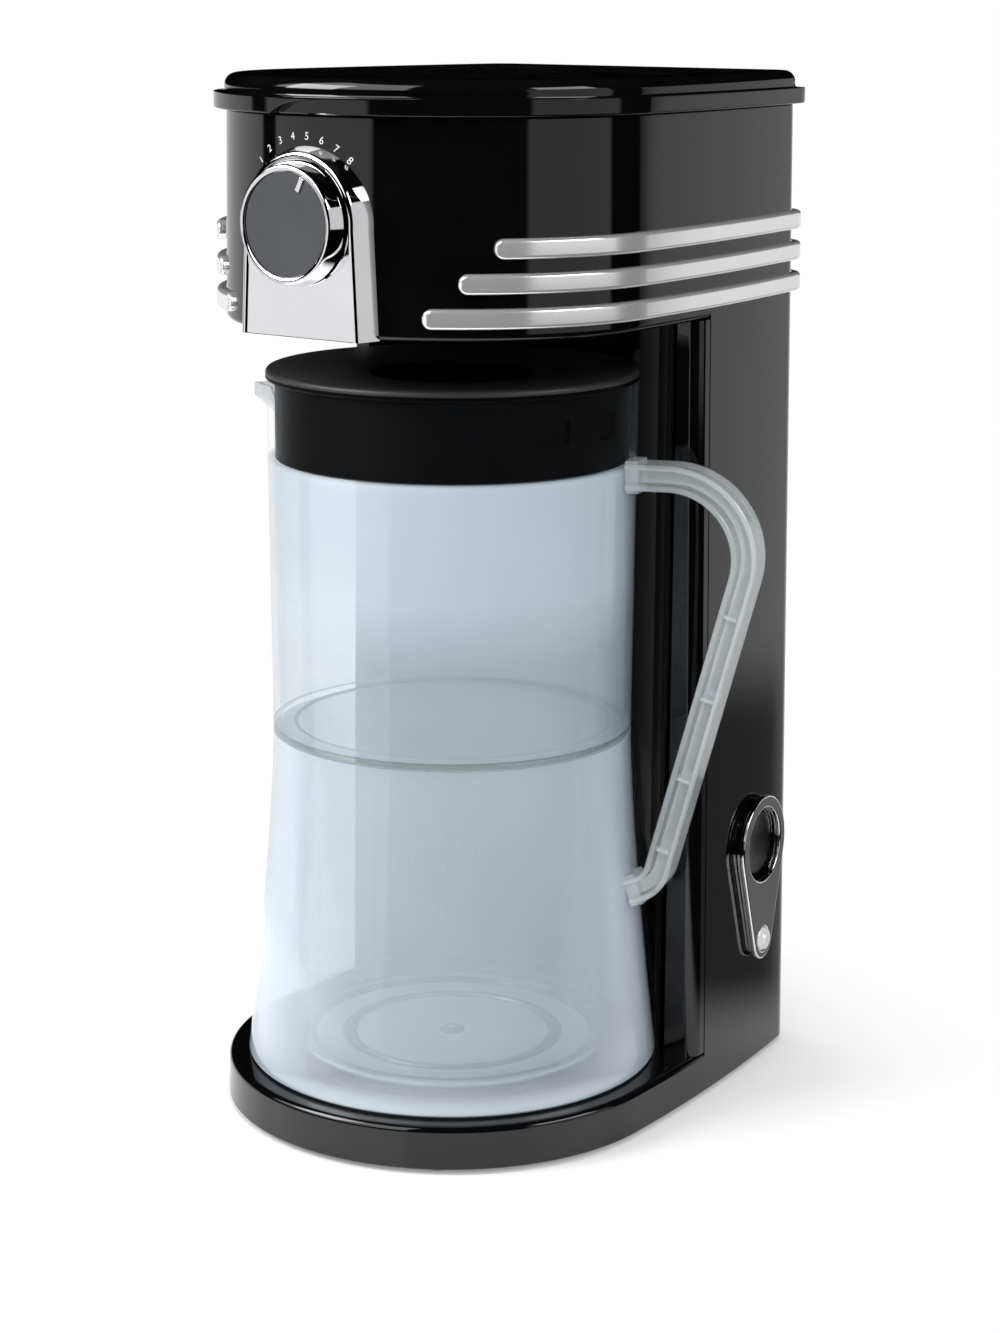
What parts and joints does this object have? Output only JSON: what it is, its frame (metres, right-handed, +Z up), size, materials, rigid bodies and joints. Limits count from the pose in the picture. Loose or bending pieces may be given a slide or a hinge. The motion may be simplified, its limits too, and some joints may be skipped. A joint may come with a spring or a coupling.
{
  "type": "iced coffee maker",
  "caption": "Tall black drip brewer for iced coffee: round-fronted head with strength dial and silver bands over a clear flared pitcher, hinged lid, side power switch.",
  "frame": {"origin": "on the table plane, under the pitcher's axis, which is also the centre of the round front", "axes": "+Z up, -Y to the front where the dial is, +X to the side with the power switch"},
  "size_m": [0.2103, 0.2393, 0.404],
  "materials": {
    "gloss_black": "polished black plastic",
    "satin_black": "satin black plastic",
    "black_insert": "dark plastic insert",
    "rubber": "matt black rubber",
    "silicone": "translucent white silicone",
    "steel": "zinc-plated steel",
    "silver_trim": "satin silver",
    "chrome": "mirror chrome plating",
    "dial_grey": "dark grey satin",
    "natural_plastic": "natural white plastic",
    "tank_plastic": "milky tank plastic",
    "clear_plastic": "clear moulded plastic with a faint tint",
    "clear_lens": "clear jewel",
    "lamp_amber": "amber lamp",
    "aluminium": "cast aluminium",
    "brass": "plain brass",
    "gold_mesh": "fine gold-toned mesh"
  },
  "bodies": {
    "machine": {"base_housing": "gloss_black", "tower_housing": "gloss_black", "head_housing": "gloss_black", "bay_panel": "gloss_black", "head_floor": "satin_black", "brew_tray": "satin_black", "bottom_cover": "satin_black", "cord_gland": "black_insert", "switch_body": "black_insert", "feet": "rubber", "tank_seal": "silicone", "inlet_hose": "silicone", "riser_tube": "silicone", "riser_seal": "silicone", "bottom_screws": "steel", "bracket_screws": "steel", "heater_bracket": "steel", "lid_hinge_pin": "steel", "trim_bands_right": "silver_trim", "trim_bands_left": "silver_trim", "dial_plate": "chrome", "switch_bezel": "chrome", "dial_bush": "natural_plastic", "check_valve": "natural_plastic", "terminal_block": "natural_plastic", "thermal_fuse": "natural_plastic", "water_tank": "tank_plastic", "indicator_lens": "clear_lens", "indicator_lamp": "lamp_amber", "heater": "aluminium", "thermostat": "brass"},
    "lid": {"top_lid": "gloss_black", "water_channel": "satin_black", "spray_head": "satin_black"},
    "dial": {"dial_knob": "chrome", "dial_face": "dial_grey", "dial_pointer": "chrome", "dial_shaft": "steel", "shaft_clip": "steel", "strength_gate": "natural_plastic"},
    "button": {"power_button": "satin_black"},
    "basket": {"brew_basket": "satin_black", "permanent_filter": "gold_mesh"},
    "pitcher": {"pitcher_body": "clear_plastic", "pitcher_vessel": "clear_plastic", "pitcher_skirt": "clear_plastic", "pitcher_handle": "clear_plastic"},
    "pitcher_cap": {"pitcher_lid": "satin_black"}
  },
  "joints": [
    {"name": "lid_hinge", "type": "hinge", "parent": "machine", "child": "lid", "pos_m": [0, 0.1375, 0.393], "axis": [-1, 0, 0], "range_deg": [0, 95]},
    {"name": "dial_turn", "type": "hinge", "parent": "machine", "child": "dial", "pos_m": [0, -0.09, 0.3536], "axis": [0, 1, 0], "range_deg": [-71, 18]},
    {"name": "button_press", "type": "slide", "parent": "machine", "child": "button", "axis": [-0.9925, -0.1216, -0.0146], "range_m": [0, 0.002], "stiffness_N_per_m": 400, "springref_m": -0.001},
    {"name": "basket_lift", "type": "slide", "parent": "machine", "child": "basket", "axis": [0, 0, 1], "range_m": [0, 0.004]},
    {"name": "pitcher_slide", "type": "slide", "parent": "machine", "child": "pitcher", "axis": [0, -1, 0], "range_m": [0, 0.27]},
    {"name": "pitcher_lid_turn", "type": "hinge", "parent": "pitcher", "child": "pitcher_cap", "pos_m": [0, 0, 0.29], "axis": [0, 0, 1], "range_deg": [-180, 180]}
  ]
}
